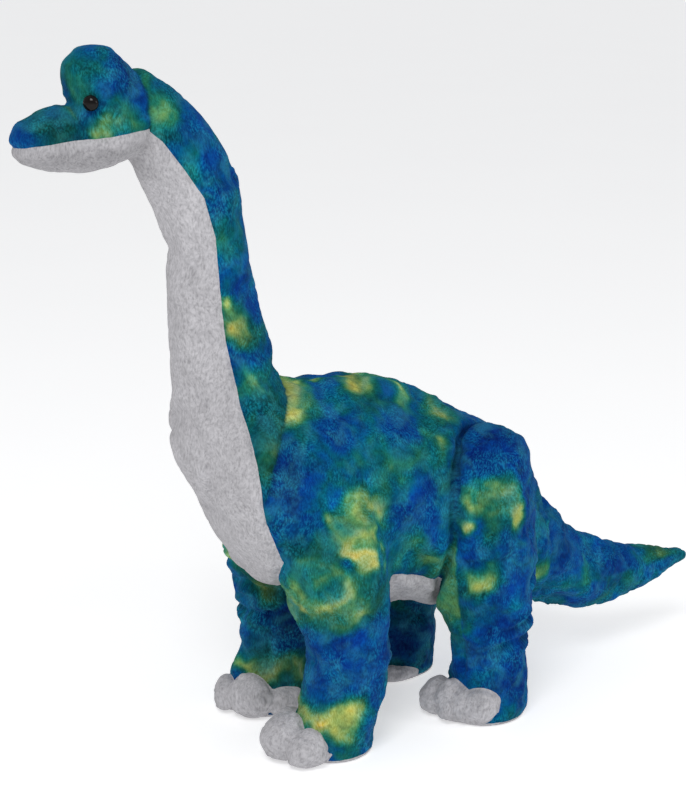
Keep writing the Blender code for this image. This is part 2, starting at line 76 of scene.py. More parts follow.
# Level slices of a leg, x from the pivot.
FRONT_LEG = (
    (1, 136, 90, 22, 20), (-1.5, 118, 90, 27.5, 26), (0.5, 100, 90, 28.5, 26.5),
    (3.5, 84, 90, 27.2, 25.5), (4.5, 58, 90, 24.8, 23), (2.5, 36, 90, 24.3, 22.5),
    (-2, 22, 90, 25, 22.8), (-4.5, 10, 90, 24.5, 22.5), (-4.5, -6, 90, 23, 21),
)
HIND_LEG = (
    (-1, 112, 90, 24.5, 24), (-1, 92, 90, 24.5, 24.5), (-1, 78, 90, 24.4, 24),
    (0.5, 56, 90, 23.4, 21.5), (0, 34, 90, 24.4, 22), (0, 22, 90, 24.8, 22),
    (-1, 10, 90, 25, 22.5), (-1, -6, 90, 24, 21),
)
PIVOT = {"front": (-55.0, 36.0), "hind": (47.0, 43.0)}
# How far forward and outward each leg stands from its pivot, for pair and side.
STANCE = {("front", -1.0): (-0.5, 5.5), ("front", 1.0): (-5.5, -3.0), ("hind", 1.0): (-12.5, 0.0)}
STATIONS = {"front": FRONT_LEG, "hind": HIND_LEG}
# Each foot's three toes, as the toy puts them down: x and outward y from where the leg stands,
# height, then half sizes. The front feet turn a little to the left, as does the left hind foot.
TOES = {
    ("front", -1.0): ((-33.5, -2.5, 13.5, 16.0, 13.0, 14.5), (-28.5, 13.5, 11.0, 12.5, 10.0, 12.0),
                      (-24.0, -18.0, 11.0, 14.0, 9.5, 12.0)),
    ("front", 1.0): ((-20.5, -11.5, 13.5, 15.0, 14.0, 14.8), (-26.0, 4.0, 10.5, 13.0, 11.0, 11.5),
                     (-5.0, -19.0, 11.0, 13.0, 10.0, 11.0)),
    ("hind", -1.0): ((-20.5, 1.5, 14.0, 15.5, 13.5, 15.5), (-26.0, -13.0, 11.0, 14.0, 10.5, 12.5),
                     (-11.5, 12.0, 14.0, 14.5, 12.5, 15.0)),
    ("hind", 1.0): ((-26.0, -3.0, 12.0, 15.0, 12.0, 13.0), (-10.0, -16.0, 5.0, 18.0, 9.5, 7.5),
                    (-16.0, 13.0, 10.0, 15.0, 10.5, 11.5)),
}
SHOULDER = ((-55, 33, 122), (33, 29, 47))
# Level slices of a thigh.
THIGH = (
    (46, 62, 90, 25, 20), (45, 80, 90, 29, 23), (44.5, 105, 90, 30.8, 25), (44, 135, 90, 31, 25.5),
    (44.5, 150, 90, 29.8, 23.5), (45.5, 162, 90, 27, 20.5), (47, 171, 90, 21, 16),
)
THIGH_Y = 39.0
EYE = (-187, 16, 379.5)
EYE_RADIUS = 4.2
EYE_TURN = math.radians(42.0)
FAR_EYE_SUNK = (2.2, 1.2)

# Seams seen from the side (x, z).
UNDERSIDE_SEAM = (
    (-165, 372), (-157, 364.5), (-149, 358), (-137, 342), (-127, 327), (-121, 305), (-119, 272),
    (-117.5, 249), (-112.5, 221), (-108.5, 197), (-107, 172), (-105.5, 156), (-103, 145),
    (-98, 135), (-92, 122), (-84, 105), (-62, 99), (-14, 99), (2, 94), (14, 89), (40, 82),
    (70, 66), (96, 50), (110, 30),
)
NECK_SEAM = (
    (-55, 240), (-74, 222), (-79, 209), (-91, 192), (-99, 177), (-104, 161), (-112, 145),
    (-160, 120),
)
JAW_SEAM = (
    (-240, 356.5), (-225, 357), (-211, 358.8), (-197, 360.8), (-179, 361.6), (-156, 364.5),
    (-140, 366.5),
)
SNOUT_SEAM = ((-197, 392), (-195, 378), (-193.3, 372), (-191, 367), (-189.5, 361), (-189, 350))
BROW = 378.5
# The hood's rear edge leans back a little as it comes down.
HOOD_BACK = ((-160, 420), (-157.5, 396), (-156, 383), (-155.5, 365), (-155, 345))
HEAD_LOWEST = 330.0
TAIL_SEAM = 104.0
SOLE_TOP = 2.2
# The plane that parts the throat from the chest, where the neck starts to turn, and how it leans.
NECK_START = (-84.0, 224.0)
NECK_WAY = (-0.667, 0.745)
# A leg starts to turn below 0.6 outward y - 0.8 z = this.
LEG_START = {"front": -47.6, "hind": -46.0}
# Angles from straight ahead towards the outer side, between which a leg's outer panel lies.
OUTER_PANEL = {"front": (-50.0, 175.0), "hind": (15.0, 180.0)}


# ==== volumes


def dense(stations, per=8):
    """A smooth curve through the stations, as more stations."""
    rows = np.array(stations, float)
    ends = np.vstack((2 * rows[0] - rows[1], rows, 2 * rows[-1] - rows[-2]))
    made = []
    for i in range(1, len(ends) - 2):
        a, b, c, d = ends[i - 1:i + 3]
        for t in np.arange(per) / per:
            made.append(0.5 * (2 * b + (c - a) * t + (2 * a - 5 * b + 4 * c - d) * t**2
                               + (3 * b - a - 3 * c + d) * t**3))
    made.append(rows[-1])
    return np.array(made)


def near_distance(terms):
    """Roughly the distance to an ellipsoid, from its (coordinate, half size) terms."""
    norm = np.sqrt(sum((value / radius) ** 2 for value, radius in terms))
    slope = np.sqrt(sum((value / radius**2) ** 2 for value, radius in terms))
    return (norm - 1.0) * np.maximum(norm, 0.05) / np.maximum(slope, 2e-3)


class Loft:
    """A tube through stations, closed at each end by a round cap of the given length."""

    def __init__(self, stations, y=0.0, shift=0.0, caps=(10.0, 10.0)):
        self.rows = dense(stations)
        self.rows[:, 0] += shift
        self.y, self.caps = y, caps
        reach = self.rows[:, 3].max() + max(caps)
        wide = self.rows[:, 4].max()
        lowest, highest = self.rows.min(0), self.rows.max(0)
        self.low = (lowest[0] - reach, y - wide, lowest[1] - reach)
        self.high = (highest[0] + reach, y + wide, highest[1] + reach)

    def plan(self, x, z):
        """Where points of the side view lie: distance across the section there, its half
        height and half width, and the way past an end over that end's cap."""
        x, z = np.broadcast_arrays(x, z)
        lean = np.radians(self.rows[:, 2])
        up = np.stack((np.sin(lean), np.cos(lean)), 1)
        along = np.stack((up[:, 1], -up[:, 0]), 1)
        if ((self.rows[1:, :2] - self.rows[:-1, :2]) * along[:-1]).sum() < 0:
            along = -along
        best = np.full(x.shape, np.inf)
        found = [np.zeros(x.shape) for _ in range(4)]

        def offer(here, cx, cz, ux, uz, high, wide, over):
            across = (x - cx) * ux + (z - cz) * uz
            score = np.where(here, np.abs(across) / high + np.abs(over), np.inf)
            better = score < best
            best[better] = score[better]
            for store, value in zip(found, (across, high, wide, over)):
                store[better] = np.broadcast_to(value, x.shape)[better]

        behind = None
        for i, (cx, cz, _, high, wide) in enumerate(self.rows):
            gone = (x - cx) * along[i, 0] + (z - cz) * along[i, 1]
            if i == 0:
                offer(gone <= 0, cx, cz, up[0, 0], up[0, 1], high, wide, gone / self.caps[0])
            else:
                part = behind / np.maximum(behind - gone, 1e-6)
                old = self.rows[i - 1]
                ux = up[i - 1, 0] + (up[i, 0] - up[i - 1, 0]) * part
                uz = up[i - 1, 1] + (up[i, 1] - up[i - 1, 1]) * part
                offer((behind >= 0) & (gone < 0), old[0] + (cx - old[0]) * part,
                      old[1] + (cz - old[1]) * part, ux, uz, old[3] + (high - old[3]) * part,
                      old[4] + (wide - old[4]) * part, 0.0)
            if i == len(self.rows) - 1:
                offer(gone >= 0, cx, cz, up[i, 0], up[i, 1], high, wide, gone / self.caps[1])
            behind = gone
        return [value.astype(np.float32) for value in found]

    def __call__(self, x, y, z):
        across, high, wide, over = self.plan(x, z)
        past = over * max(self.caps)
        return near_distance([(across, high), (y - self.y, wide), (past, max(self.caps))])


class Ellipsoid:
    def __init__(self, centre, radii):
        self.centre, self.radii = centre, radii
        self.low = [c - r for c, r in zip(centre, radii)]
        self.high = [c + r for c, r in zip(centre, radii)]

    def __call__(self, *point):
        return near_distance([(p - c, r) for p, c, r in zip(point, self.centre, self.radii)])


def soft_min(a, b, width):
    """The union of two fields, with a fillet of about this width."""
    near = np.maximum(width - np.abs(a - b), 0.0) / width
    return np.minimum(a, b) - near**3 * width / 6.0


class Grid:
    """Sample points over the whole toy."""

    def __init__(self, step):
        low, high = (-236.0, -74.0, -4.0), (240.0, 74.0, 415.0)
        self.axes = [np.arange(a, b, step, dtype=np.float32) for a, b in zip(low, high)]
        self.step = step

    def empty(self):
        return np.full([len(axis) for axis in self.axes], FAR, np.float32)

    def join(self, field, shape, width):
        """Joins a volume into the field, with a fillet of this width."""
        reach = width + 12.0
        cut = tuple(slice(*np.searchsorted(axis, (low - reach, high + reach)))
                    for axis, low, high in zip(self.axes, shape.low, shape.high))
        x, y, z = (axis[part] for axis, part in zip(self.axes, cut))
        value = shape(x[:, None, None], y[None, :, None], z[None, None, :])
        field[cut] = soft_min(field[cut], value.astype(np.float32), width)


def side_pair(centre, radii):
    return [Ellipsoid((centre[0], side * centre[1], centre[2]), radii) for _, side in SIDES]


def footing(pair, side):
    """Where a leg stands: its pivot, and the few millimetres that the toy stands off square."""
    x, y = PIVOT[pair]
    dx, out = STANCE.get((pair, side), (0.0, 0.0))
    return x + dx, side * (y + out)


def leg_loft(pair, side):
    x, y = footing(pair, side)
    return Loft(STATIONS[pair], y=y, shift=x, caps=(14.0, 6.0))


def toe_shapes(pair, side):
    x, y = footing(pair, side)
    return [Ellipsoid((x + dx, y + side * out, z), radii)
            for dx, out, z, *radii in TOES[pair, side]]


def torso_shapes():
    return [(Loft(TORSO, caps=(8.0, 12.0)), 1.0)] + [(s, 14.0) for s in side_pair(*SHOULDER)]


def hind_shapes(side):
    return [(Loft(THIGH, y=side * THIGH_Y, caps=(12.0, 8.5)), 1.0), (leg_loft("hind", side), 14.0)]


def toy_field(grid):
    """The whole toy's field, below zero inside."""
    field = grid.empty()
    for shape, width in torso_shapes():
        grid.join(field, shape, width)
    for _, side in SIDES:
        grid.join(field, leg_loft("front", side), 13.0)
    grid.join(field, Loft(NECK, caps=(10.0, 8.0)), 14.0)
    grid.join(field, Loft(TAIL, caps=(10.0, 7.0)), 10.0)
    hind = grid.empty()
    for _, side in SIDES:
        for shape, width in hind_shapes(side):
            grid.join(hind, shape, width)
    field = soft_min(field, hind, 3.0)
    head = grid.empty()
    grid.join(head, Loft(HOOD, caps=(10.0, 3.8)), 1.0)
    grid.join(head, Loft(MUZZLE, caps=(10.0, 6.8)), 2.5)
    grid.join(head, Ellipsoid(*NAPE), 6.0)
    field = soft_min(field, head, 5.0)
    toes = grid.empty()
    for pair in PIVOT:
        for _, side in SIDES:
            for shape in toe_shapes(pair, side):
                grid.join(toes, shape, 2.2)
    field = soft_min(field, toes, 3.0)
    ground = -grid.axes[2][None, None, :]
    return -soft_min(-field, -ground, 5.0)


# ==== meshing


def surface(grid, field, stride=1):
    """Surface nets: one vertex for each grid cell that the surface crosses, joined by quads."""
    field = field[::stride, ::stride, ::stride]
    axes = [axis[::stride] for axis in grid.axes]
    inside = field < 0
    corners = [np.array((i, j, k)) for i in (0, 1) for j in (0, 1) for k in (0, 1)]
    size = np.array(field.shape)

    def shifted(array, corner):
        return array[tuple(slice(c, n - 1 + c) for c, n in zip(corner, size))]

    count = sum(shifted(inside, c).astype(np.int8) for c in corners)
    mixed = (count > 0) & (count < 8)
    cells = np.argwhere(mixed)
    values = [field[tuple((cells + c).T)] for c in corners]
    total, hits = np.zeros((len(cells), 3)), np.zeros(len(cells))
    for a in range(8):
        for b in range(a + 1, 8):
            if np.abs(corners[a] - corners[b]).sum() != 1:
                continue
            crossed = (values[a] < 0) != (values[b] < 0)
            gap = np.where(crossed, values[a] - values[b], 1.0)
            share = np.where(crossed, values[a] / gap, 0.0)
            point = corners[a] + share[:, None] * (corners[b] - corners[a])
            total += np.where(crossed[:, None], point, 0.0)
            hits += crossed
    points = cells + total / hits[:, None]
    low = np.array([axis[0] for axis in axes])
    points = low + points * (grid.step * stride)
    number = np.full(mixed.shape, -1, np.int32)
    number[mixed] = np.arange(len(cells))
    quads = []
    for axis in range(3):
        step_a, step_b = np.eye(3, dtype=int)[(axis + 1) % 3], np.eye(3, dtype=int)[(axis + 2) % 3]
        first = np.take(inside, np.arange(size[axis] - 1), axis)
        second = np.take(inside, np.arange(1, size[axis]), axis)
        at = np.argwhere(first != second)
        ring = [at - step_a - step_b, at - step_b, at, at - step_a]
        quad = np.stack([number[tuple(cell.T)] for cell in ring], 1)
        outward = first[tuple(at.T)]
        quad[~outward] = quad[~outward][:, ::-1]
        quads.append(quad)
    return points, np.concatenate(quads)


def edges_of(faces):
    pairs = np.concatenate([faces[:, [i, (i + 1) % faces.shape[1]]] for i in range(faces.shape[1])])
    pairs = np.sort(pairs, 1)
    return np.unique(pairs, axis=0)


def averaged(values, edges):
    """Each vertex's mean over the vertices next to it."""
    count = np.bincount(edges.ravel(), minlength=len(values))
    columns = []
    for column in values.T:
        total = np.bincount(edges[:, 0], column[edges[:, 1]], len(values))
        total += np.bincount(edges[:, 1], column[edges[:, 0]], len(values))
        columns.append(total / np.maximum(count, 1))
    return np.stack(columns, 1)


def smoothed(values, edges, rounds, strength=0.5):
    for _ in range(rounds):
        values = values + strength * (averaged(values, edges) - values)
    return values


def normals_of(points, triangles):
    a, b, c = (points[triangles[:, i]] for i in range(3))
    face = np.cross(b - a, c - a)
    total = np.stack([sum(np.bincount(triangles[:, i], face[:, k], len(points)) for i in range(3))
                      for k in range(3)], 1)
    return total / np.maximum(np.linalg.norm(total, axis=1), 1e-9)[:, None]


# ==== noise and seams


def smooth_step(value, low, high):
    t = np.clip((value - low) / (high - low), 0.0, 1.0)
    return t * t * (3.0 - 2.0 * t)


def bell(value, width):
    return np.exp(-(value / width) ** 2)


class Noise:
    """Smooth random values on a repeating lattice, from -1 to 1."""

    def __init__(self, seed, size=32):
        self.table = np.random.default_rng(seed).uniform(-1, 1, (size,) * 3)
        self.size = size

    def once(self, points):
        cell = np.floor(points).astype(int)
        part = points - cell
        part = part**3 * (part * (part * 6 - 15) + 10)
        total = np.zeros(len(points))
        for i in (0, 1):
            for j in (0, 1):
                for k in (0, 1):
                    weight = np.ones(len(points))
                    for axis, bit in enumerate((i, j, k)):
                        weight *= part[:, axis] if bit else 1 - part[:, axis]
                    where = (cell + (i, j, k)) % self.size
                    total += weight * self.table[tuple(where.T)]
        return total

    def __call__(self, points, scale, octaves=3, rough=0.5):
        """Fractal noise whose coarsest lumps are about this many millimetres."""
        total, strength, whole = 0.0, 1.0, 0.0
        points = points / np.asarray(scale, float)
        for octave in range(octaves):
            total = total + strength * self.once(points * 2.0**octave + 17.3 * octave)
            whole += strength**2
            strength *= rough
        return total / math.sqrt(whole) * 1.6


def side_of(points, line):
    """Distance of points of the side view from a line, above zero to the left of its way."""
    line = np.array(line, float)
    best, result = np.full(len(points), np.inf), np.zeros(len(points))
    for i, (start, end) in enumerate(zip(line[:-1], line[1:])):
        way = end - start
        length = np.linalg.norm(way)
        way = way / length
        gone = (points - start) @ way
        low = -np.inf if i == 0 else 0.0
        high = np.inf if i == len(line) - 2 else length
        nearest = start + np.clip(gone, low, high)[:, None] * way
        off = points - nearest
        distance = np.hypot(*off.T)
        lateral = way[0] * (points - start)[:, 1] - way[1] * (points - start)[:, 0]
        score = distance - 1e-3 * np.abs(lateral)
        better = score < best
        best[better] = score[better]
        result[better] = (np.sign(lateral) * distance)[better]
    return result


def seam_fields(q):
    """What tells the panels apart at the undisplaced points, each zero on its seam."""
    x, y, z = q.T
    side_view = q[:, [0, 2]]
    fields = {
        "grey": -side_of(side_view, UNDERSIDE_SEAM),
        "neck_back": -side_of(side_view, NECK_SEAM),
        "jaw": -side_of(side_view, JAW_SEAM),
        "snout": np.minimum(-side_of(side_view, SNOUT_SEAM), 1.5 * (BROW - z)),
        "head": np.minimum(-side_of(side_view, HOOD_BACK), z - HEAD_LOWEST),
        "tail": x - TAIL_SEAM,
        "right": y,
        "neck": np.minimum((x - NECK_START[0]) * NECK_WAY[0] + (z - NECK_START[1]) * NECK_WAY[1],
                           60.0),
        "sole": SOLE_TOP - z,
    }
    body = FAR * np.ones(len(q))
    for shape, width in torso_shapes():
        body = soft_min(body, shape(x, y, z), width)
    body = soft_min(body, Loft(TAIL)(x, y, z), 10.0)
    trunk = Loft(TORSO, caps=(8.0, 12.0))(x, y, z)
    for pair in PIVOT:
        for word, side in SIDES:
            px, py = footing(pair, side)
            py = abs(py)
            out = side * y
            foot = leg = leg_loft(pair, side)(x, y, z)
            if pair == "hind":
                whole = FAR * np.ones(len(q))
                for shape, width in hind_shapes(side):
                    whole = soft_min(whole, shape(x, y, z), width)
                fields[f"hind_{word}_whole"] = np.minimum(body - whole, out - 4.0)
                leg = whole
            plane = 0.6 * out - 0.8 * z - LEG_START[pair]
            member = np.where(z < 50.0, 30.0, body - leg)
            near = 50.0 - np.abs(x - px + 6.0)
            fields[f"{pair}_{word}"] = np.minimum.reduce([member, plane, near, out - 2.0])
            if pair == "front":
                (sx, sy, sz), radii = SHOULDER
                shoulder = soft_min(leg, Ellipsoid((sx, side * sy, sz), radii)(x, y, z), 14.0)
                member = np.where(z < 80.0, 30.0, trunk - shoulder)
            printed = np.minimum.reduce([member, near, out - 2.0, 165.0 - z])
            fields["grey"] = np.minimum(fields["grey"], -printed)
            low, high = OUTER_PANEL[pair]
            angle = np.degrees(np.arctan2(out - py, px + 2.0 - x))
            turn = (angle - (low + high) / 2 + 180.0) % 360.0 - 180.0
            fields[f"{pair}_{word}_outer"] = ((high - low) / 2 - np.abs(turn)) * 0.38
            toes = np.min([shape(x, y, z) for shape in toe_shapes(pair, side)], 0)
            between = np.minimum.reduce([8.0 - z, px - 15.0 - x, 2.5 - toes])
            cap = np.maximum(foot - toes - 0.8, between)
            fields[f"{pair}_{word}_toe"] = np.clip(cap, -30.0, 30.0)
    return fields


def seams_at(q, normals, fields):
    """Each sewn seam as (distance from it, how much of it is there), at every point."""
    x, _, z = q.T
    inside = {name: smooth_step(value, -3.0, 3.0) for name, value in fields.items()}
    legs = [f"{pair}_{word}" for pair in PIVOT for word, _ in SIDES]
    leg = np.maximum.reduce([inside[name] for name in legs])
    thigh = np.maximum(inside["hind_left_whole"], inside["hind_right_whole"])
    free = (1.0 - leg) * (1.0 - thigh)
    head = inside["head"]
    trunk = free * (1.0 - head)
    seams = {
        "underside": (fields["grey"], trunk * smooth_step(x, 108.0, 96.0)),
        "neck": (fields["neck_back"],
                 trunk * (1.0 - inside["grey"]) * smooth_step(z, 120.0, 140.0)),
        "ridge": (fields["right"], trunk * smooth_step(normals[:, 2], 0.3, 0.7)
                  * smooth_step(x, -80.0, -70.0)),
        "tail": (fields["tail"], free),
        "tail_under": (fields["right"], inside["tail"] * smooth_step(-normals[:, 2], 0.3, 0.7)),
        "thigh": (np.maximum(fields["hind_left_whole"], fields["hind_right_whole"]),
                  smooth_step(z, 40.0, 60.0) * smooth_step(x, -10.0, 0.0)),
        "hood_back": (fields["head"], smooth_step(z, 350.0, 356.0)),
        "jaw": (fields["jaw"], head),
        "snout": (fields["snout"], head * (1.0 - inside["jaw"])),
    }
    low, off_floor = smooth_step(-z, -36.0, -30.0), smooth_step(z, 1.0, 4.0)
    for name in legs:
        panel = inside[name] * (1.0 - inside[f"{name}_toe"] * low) * off_floor
        if name.startswith("hind"):
            panel = np.maximum(panel, inside[f"{name}_whole"] * smooth_step(-z, -100.0, -90.0))
        seams[f"{name}_sides"] = (fields[f"{name}_outer"], panel)
        seams[f"{name}_toe"] = (fields[f"{name}_toe"], inside[name] * low * off_floor)
        seams[f"{name}_sole"] = (fields["sole"], inside[name])
    return seams


# Depth and width of each seam's groove.
PLAIN_GROOVE, SOLE_GROOVE = (1.5, 1.9), (0.7, 1.2)
GROOVES = {"underside": (1.3, 1.8), "ridge": (0.5, 3.0), "tail": (1.6, 2.6),
           "neck": (1.2, 2.2), "snout": (1.8, 2.0), "jaw": (1.3, 1.6), "hood_back": (1.0, 1.6),
           "tail_under": (0.8, 2.0), "thigh": (3.0, 2.4)}

# Folds: pair, side, height, rise for each mm backwards, depth, width, middle and half of the
# angle that it runs through (from straight ahead towards the outer side).
FOLDS = (
    ("hind", "left", 106, 0.1, 2.4, 2.8, 60, 60), ("hind", "left", 50, 0.2, 3, 3, 100, 80),
    ("hind", "left", 60, 0.26, 1.9, 2.6, 110, 65), ("hind", "left", 84, 0.45, 2, 3.4, 150, 45),
    ("hind", "left", 72, -0.1, 1.4, 3, 70, 40), ("hind", "right", 54, -0.15, 2.8, 3, 60, 110),
    ("hind", "right", 90, 0.2, 1.8, 3.6, 120, 60), ("front", "left", 46, 0.12, 1.2, 4, 150, 60),
    ("front", "left", 60, -0.1, 1, 3.6, 20, 50), ("front", "right", 92, -0.25, 2, 2.8, -10, 80),
    ("front", "right", 80, -0.1, 2.4, 2.6, -40, 70),
    ("front", "right", 66, 0.12, 2.8, 2.8, -20, 100), ("front", "right", 40, 0.1, 2, 3, -50, 60),
    ("front", "right", 54, 0.05, 1.4, 2.8, 60, 60),
)


def folds_at(q):
    """How far each point sinks into, or swells beside, the folds of the legs."""
    x, y, z = q.T
    total = np.zeros(len(q))
    wobble = Noise(31)(q, 26.0, 2) * 2.2
    for pair, word, height, rise, depth, width, middle, half in FOLDS:
        side = dict(SIDES)[word]
        px, py = footing(pair, side)
        angle = np.degrees(np.arctan2(side * (y - py), px - x))
        turn = np.abs((angle - middle + 180.0) % 360.0 - 180.0)
        near = smooth_step(-turn, -half, -half * 0.3) * (side * y > 2.0) * (np.abs(x - px) < 45.0)
        off = (z - height - rise * (x - px) - wobble) / width
        total += near * depth * (0.55 * bell(np.abs(off) - 2.1, 1.1) - bell(off, 1.0))
    return total


def relief(q, normals, fields):
    """How far the cloth stands from the plain surface: grooves, puckers, folds and lumps."""
    x, _, z = q.T
    wide, lump, tiny = Noise(11), Noise(12), Noise(13)
    total = 0.7 * wide(q, 44.0, 2) + 0.55 * lump(q, 17.0, 3)
    pushed = q + 6.0 * np.stack([wide(q + 90.0 * i, 30.0, 1) for i in range(3)], 1)
    creased = 1.0 - np.abs(Noise(14)(pushed, 15.0, 2))
    total -= 0.8 * smooth_step(creased, 0.72, 1.0)
    grey = np.maximum(smooth_step(fields["grey"], -2.0, 2.0) * (z > 60.0),
                      smooth_step(fields["head"], -2.0, 2.0))
    total *= 1.0 - 0.5 * grey
    total *= 1.0 - 0.35 * smooth_step(z, 215.0, 240.0) - 0.30 * smooth_step(z, 340.0, 360.0)
    calm = smooth_step(z, 0.5, 5.0)
    for name, (distance, there) in seams_at(q, normals, fields).items():
        plain = SOLE_GROOVE if name.endswith("_sole") else PLAIN_GROOVE
        depth, width = GROOVES.get(name, plain)
        total -= there * depth * bell(distance, width)
        if name == "thigh":
            total += there * 1.6 * smooth_step(distance, -0.5, 2.5) * bell(distance, 12.0)
        total += there * 0.5 * tiny(q, 6.0, 2) * bell(distance, 8.0)
        total += there * 0.35 * depth * bell(np.abs(distance) - 2.6 * width, 1.5 * width)
    gather = Noise(15)(q, (26.0, 4.5, 6.5), 2)
    total += 1.1 * gather * bell(x - TAIL_SEAM - 6.0, 16.0)
    total += folds_at(q)
    total -= 1.4 * bell(min_eye_distance(q) - 3.0, 3.0)
    return total * calm


def min_eye_distance(q):
    centre = np.array(EYE)
    return np.minimum(*(np.linalg.norm(q - centre * (1.0, side, 1.0), axis=1) for _, side in SIDES))


# ==== cloth


CLOTH_FRAMES = 20
PUFF_MOST = 3.0


def puffed(grid, field, fine, edges):
    """The filled cloth's give at the fine points, from a simulation on a coarse copy."""
    points, quads = surface(grid, field, stride=3)
    coarse_edges = edges_of(quads)
    points = smoothed(points, coarse_edges, 2)
    triangles = np.concatenate((quads[:, :3], quads[:, [0, 2, 3]]))
    normals = normals_of(points, triangles)
    fields = seam_fields(points)
    held = np.zeros(len(points))
    for distance, there in seams_at(points, normals, fields).values():
        held = np.maximum(held, there * bell(distance, 3.0))
    held = np.maximum.reduce([held, points[:, 2] < 5.0, bell(min_eye_distance(points), 7.0),
                              0.5 * (points[:, 2] > 345.0)])
    mesh = bpy.data.meshes.new("cloth")
    mesh.from_pydata((points * MM).tolist(), [], quads.tolist())
    cloth = add_object("cloth", mesh)
    group = cloth.vertex_groups.new(name="held")
    for level in range(11):
        chosen = np.flatnonzero(np.round(held * 10.0) == level)
        if len(chosen) and level:
            group.add(chosen.tolist(), level / 10.0, "REPLACE")
    modifier = cloth.modifiers.new("cloth", "CLOTH")
    settings = modifier.settings
    settings.quality = 5
    settings.mass = 0.15
    settings.use_pressure = True
    settings.uniform_pressure_force = 3.0
    settings.shrink_min = settings.shrink_max = -0.045
    settings.vertex_group_mass = "held"
    settings.effector_weights.gravity = 0.0
    modifier.collision_settings.use_collision = False
    scene = bpy.context.scene
    for step in range(1, CLOTH_FRAMES + 1):
        scene.frame_set(step)
    evaluated = cloth.evaluated_get(bpy.context.evaluated_depsgraph_get())
    moved = np.zeros(len(points) * 3, np.float32)
    evaluated.data.vertices.foreach_get("co", moved)
    moved = moved.reshape(-1, 3) / MM - points
    scene.frame_set(1)
    bpy.data.objects.remove(cloth)
    out = (moved * normals).sum(1)
    # Long waves are taken out again, so that the toy keeps its size.
    out -= smoothed(out[:, None], coarse_edges, 40, 1.0)[:, 0]
    out = smoothed(np.clip(out, -PUFF_MOST, PUFF_MOST)[:, None], coarse_edges, 1)
    tree = kdtree.KDTree(len(points))
    for i, point in enumerate(points):
        tree.insert(point, i)
    tree.balance()
    result = np.zeros(len(fine))
    for i, point in enumerate(fine):
        total, weight = 0.0, 0.0
        for _, index, distance in tree.find_n(point, 4):
            share = 1.0 / (distance + 0.4) ** 2
            total += share * out[index, 0]
            weight += share
        result[i] = total / weight
    return smoothed(result[:, None], edges, 3)[:, 0]


# ==== cutting into panels


class Skin:
    """The whole surface as one table: a row for each vertex, a named column for each value."""

    def __init__(self, columns, triangles):
        self.names, blocks = {}, []
        start = 0
        for name, block in columns.items():
            block = block[:, None] if block.ndim == 1 else block
            self.names[name] = slice(start, start + block.shape[1])
            start += block.shape[1]
            blocks.append(block)
        self.table = np.concatenate(blocks, 1)
        self.triangles = triangles

    def get(self, name):
        return self.table[:, self.names[name]]

    def split(self, triangles, name):
        """Cuts triangles where a value passes zero: those above it, those below."""
        value = self.get(name)[:, 0]
        above = value[triangles] > 0
        count = above.sum(1)
        mixed, up = triangles[(count == 1) | (count == 2)], above[(count == 1) | (count == 2)]
        lone_up = up.sum(1) == 1
        lone = np.where(lone_up, up.argmax(1), (~up).argmax(1))
        a, b, c = (mixed[np.arange(len(mixed)), (lone + i) % 3] for i in range(3))
        pairs = np.sort(np.concatenate((np.stack((a, b), 1), np.stack((a, c), 1))), 1)
        unique, place = np.unique(pairs, axis=0, return_inverse=True)
        place = place.ravel() + len(self.table)
        i, j = unique.T
        share = np.clip(value[i] / (value[i] - value[j]), 0.001, 0.999)[:, None]
        rows = self.table[i] + share * (self.table[j] - self.table[i])
        rows[:, self.names[name]] = 0.0
        self.table = np.concatenate((self.table, rows))
        ab, ac = place[:len(mixed)], place[len(mixed):]
        tips = np.stack((a, ab, ac), 1)
        rests = np.concatenate((np.stack((ab, b, c), 1), np.stack((ab, c, ac), 1)))
        twice = np.concatenate((lone_up, lone_up))
        return (np.concatenate((triangles[count == 3], tips[lone_up], rests[~twice])),
                np.concatenate((triangles[count == 0], tips[~lone_up], rests[twice])))


def cut_panels(skin):
    """The surface's triangles for each panel, by the panel's name."""
    panels = {}
    rest = skin.triangles
    for pair in PIVOT:
        for word, _ in SIDES:
            name = f"{pair}_{word}"
            leg, rest = skin.split(rest, name)
            panels[f"{name}_sole"], leg = skin.split(leg, "sole")
            panels[f"{name}_toe_cap"], leg = skin.split(leg, f"{name}_toe")
            outer, inner = skin.split(leg, f"{name}_outer")
            panels[f"{name}_leg_outer_panel"], panels[f"{name}_leg_inner_panel"] = outer, inner
    for word, _ in SIDES:
        panels[f"hind_{word}_thigh_panel"], rest = skin.split(rest, f"hind_{word}_whole")
    head, rest = skin.split(rest, "head")
    panels["jaw_panel"], head = skin.split(head, "jaw")
    panels["snout_panel"], panels["hood_panel"] = skin.split(head, "snout")
    tail, rest = skin.split(rest, "tail")
    panels["tail_right_panel"], panels["tail_left_panel"] = skin.split(tail, "right")
    grey, rest = skin.split(rest, "grey")
    panels["throat_panel"], panels["chest_belly_panel"] = skin.split(grey, "neck")
    panels["neck_back_panel"], rest = skin.split(rest, "neck_back")
    panels["body_right_panel"], panels["body_left_panel"] = skin.split(rest, "right")
    return panels


# ==== dye and painted shade

# The dye runs from deep blue through teal and green to yellow. sRGB.
DYE = (
    (0, (0, 34, 112)), (0.14, (0, 54, 134)), (0.28, (0, 72, 136)), (0.4, (0, 84, 116)),
    (0.52, (6, 92, 94)), (0.64, (34, 112, 84)), (0.76, (92, 146, 88)), (0.88, (160, 182, 98)),
    (1, (202, 200, 96)), (1.1, (216, 186, 52)),
)
